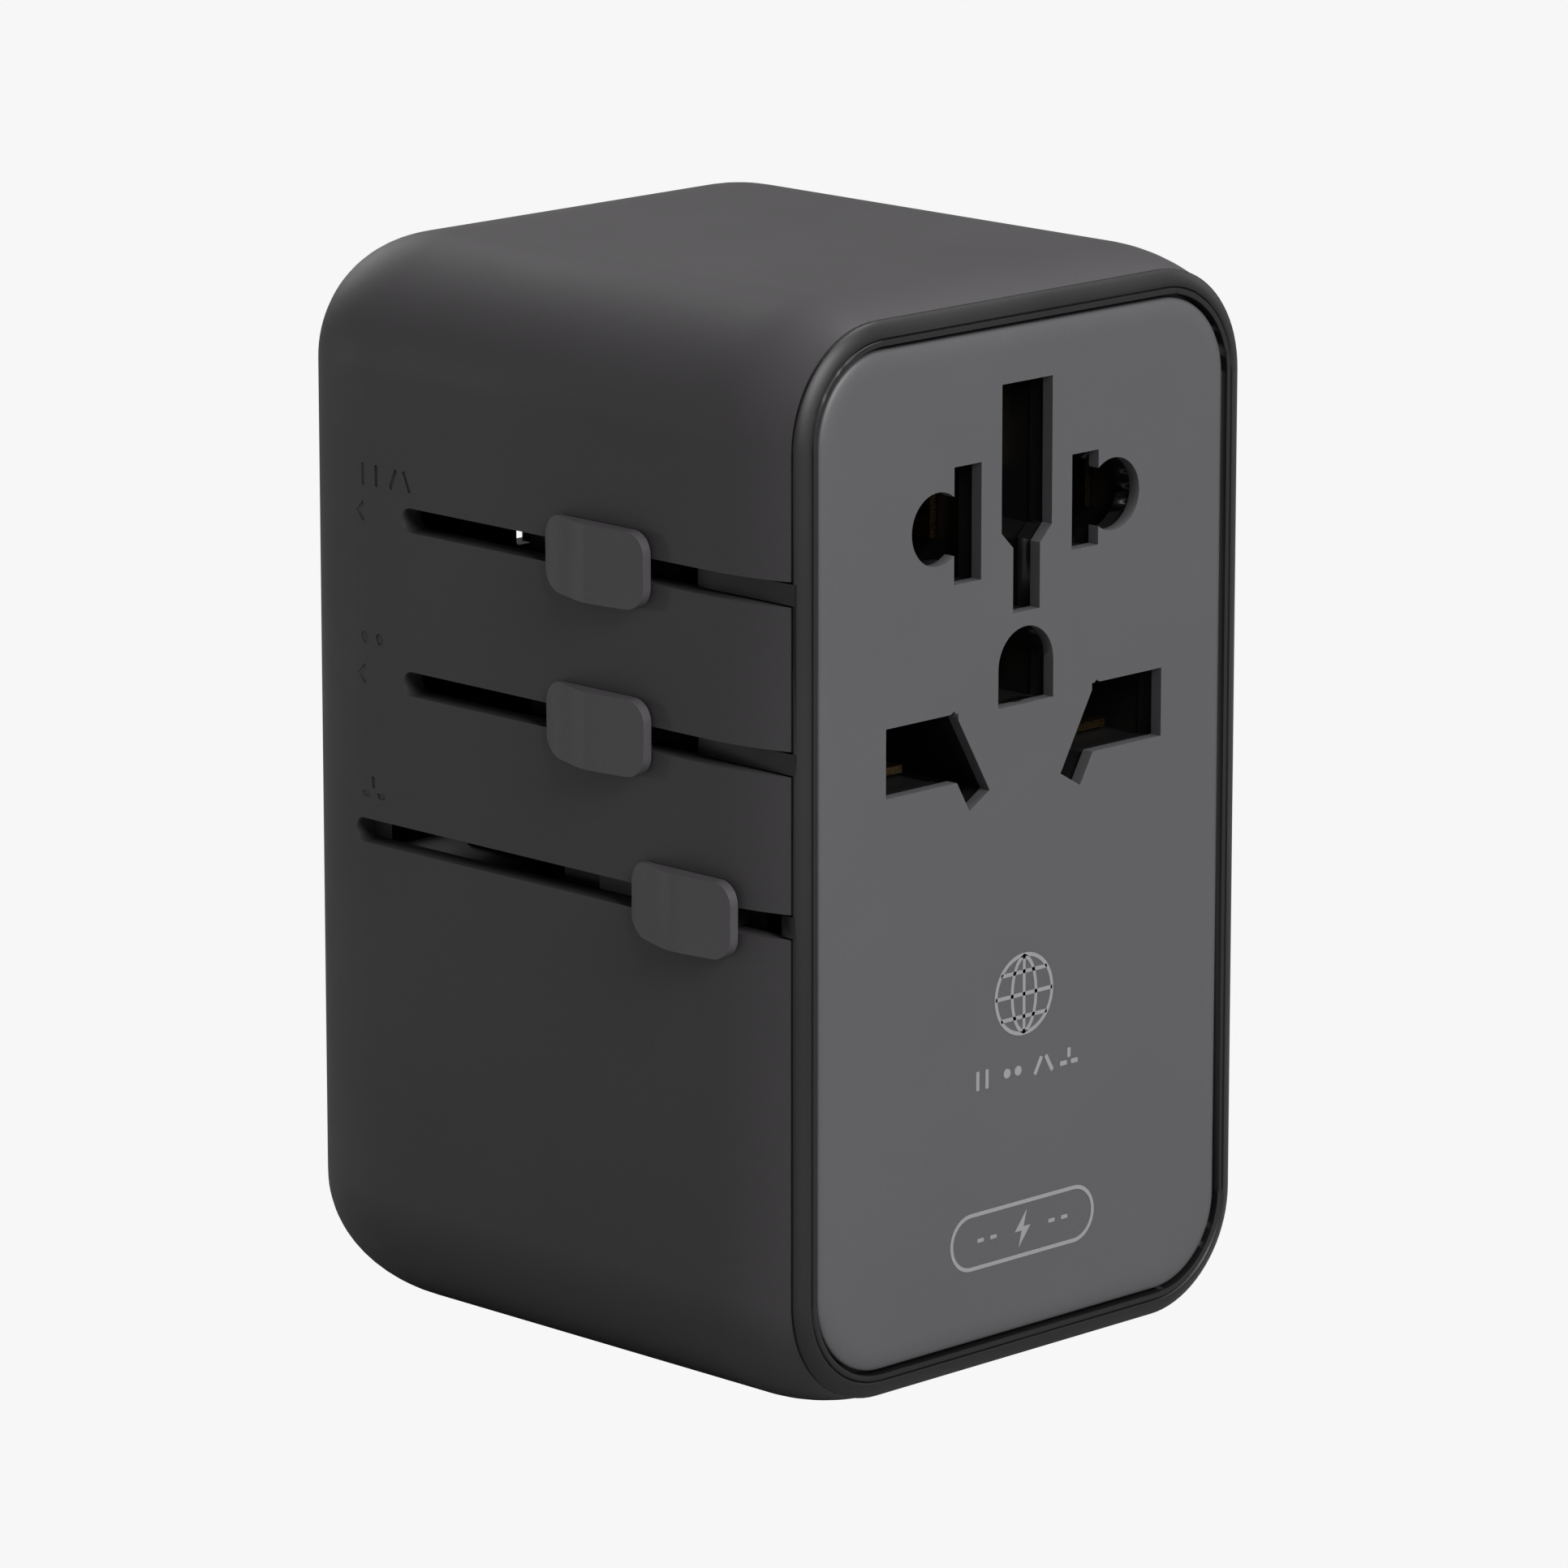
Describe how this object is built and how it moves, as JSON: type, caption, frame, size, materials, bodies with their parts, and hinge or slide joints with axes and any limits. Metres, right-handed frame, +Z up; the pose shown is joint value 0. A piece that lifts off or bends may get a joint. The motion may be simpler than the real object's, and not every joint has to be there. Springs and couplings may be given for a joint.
{
  "type": "universal travel adapter",
  "caption": "Grey-black block travel adapter: multi-standard socket in front, three side sliders that push US, EU and UK pins out of the back, USB ports in the base.",
  "frame": {"origin": "centre of the flat base, halfway between the sides and between the socket face and the pin face", "axes": "+Z up, +Y from the socket face to the pin face, +X to the right seen from the front; the sliders are at -X"},
  "size_m": [0.0521, 0.055, 0.0845],
  "materials": {
    "shell_plastic": "matt moulded polycarbonate",
    "knob_plastic": "matt moulded polycarbonate",
    "bezel_plastic": "satin black moulded plastic",
    "panel_plastic": "fine spark-textured grey",
    "core_plastic": "black flame-retardant plastic",
    "frame_plastic": "dark moulded plastic",
    "sleeve_plastic": "black overmoulded sleeve",
    "pin_metal": "nickel-plated brass",
    "contact_metal": "stamped brass strip",
    "screw_steel": "zinc-plated steel",
    "port_steel": "nickel-plated stamped steel",
    "board": "solder-masked glass fibre",
    "adhesive": "double-sided tape",
    "sheet": "insulating film",
    "ferrite": "sintered ferrite",
    "winding": "yellow insulating tape",
    "capacitor_sleeve": "shrink sleeve over aluminium",
    "fuse_ceramic": "white ceramic tube",
    "spreader_aluminium": "plain sheet",
    "spacer_nylon": "natural nylon"
  },
  "bodies": {
    "housing": {"outer_shell": "shell_plastic", "front_bezel": "bezel_plastic", "front_panel": "panel_plastic", "panel_adhesive": "adhesive", "front_screws": "screw_steel", "socket_core": "core_plastic", "inner_frame": "frame_plastic", "core_screws": "screw_steel", "live_contact": "contact_metal", "neutral_contact": "contact_metal", "earth_contact": "contact_metal", "live_busbar": "contact_metal", "neutral_busbar": "contact_metal", "earth_busbar": "contact_metal", "busbar_rivets": "contact_metal", "fuse_tube": "fuse_ceramic", "fuse_caps": "pin_metal", "fuse_clips": "contact_metal", "usb_a_shell_1": "port_steel", "usb_a_shell_2": "port_steel", "usb_a_tongue_1": "sleeve_plastic", "usb_a_tongue_2": "sleeve_plastic", "usb_c_shell_1": "port_steel", "usb_c_shell_2": "port_steel", "usb_c_tongue_1": "sleeve_plastic", "usb_c_tongue_2": "sleeve_plastic", "port_board": "board", "port_board_screws": "screw_steel", "output_inductors": "sleeve_plastic", "board_header": "sleeve_plastic", "main_board": "board", "board_spacers": "spacer_nylon", "board_screws": "screw_steel", "insulating_sheet": "sheet", "transformer_core": "ferrite", "transformer_winding": "winding", "input_capacitors": "capacitor_sleeve", "safety_capacitor": "winding", "choke": "ferrite", "bridge_rectifier": "sleeve_plastic", "switch_chip": "sleeve_plastic", "heat_spreader": "spreader_aluminium"},
    "us_slider": {"us_knob": "knob_plastic", "us_carriage": "core_plastic", "us_wipers": "contact_metal"},
    "us_blade_left": {"us_blade_left": "pin_metal"},
    "us_blade_right": {"us_blade_right": "pin_metal"},
    "eu_slider": {"eu_knob": "knob_plastic", "eu_carriage": "core_plastic", "eu_pin_left": "pin_metal", "eu_pin_right": "pin_metal", "eu_sleeves": "sleeve_plastic", "eu_wipers": "contact_metal"},
    "uk_slider": {"uk_knob": "knob_plastic", "uk_carriage": "core_plastic", "uk_pin_live": "pin_metal", "uk_pin_neutral": "pin_metal", "uk_pin_earth": "pin_metal", "uk_sleeves": "sleeve_plastic", "uk_wipers": "contact_metal"}
  },
  "joints": [
    {"name": "us_slide", "type": "slide", "parent": "housing", "child": "us_slider", "axis": [0, 1, 0], "range_m": [0, 0.0195]},
    {"name": "eu_slide", "type": "slide", "parent": "housing", "child": "eu_slider", "axis": [0, 1, 0], "range_m": [0, 0.0195]},
    {"name": "uk_slide", "type": "slide", "parent": "housing", "child": "uk_slider", "axis": [0, 1, 0], "range_m": [0, 0.024]},
    {"name": "us_left_twist", "type": "hinge", "parent": "us_slider", "child": "us_blade_left", "pos_m": [-0.00635, 0, 0.064], "axis": [0, 1, 0], "range_deg": [0, 30]},
    {"name": "us_right_twist", "type": "hinge", "parent": "us_slider", "child": "us_blade_right", "pos_m": [0.00635, 0, 0.064], "axis": [0, 1, 0], "range_deg": [-30, 0]}
  ]
}
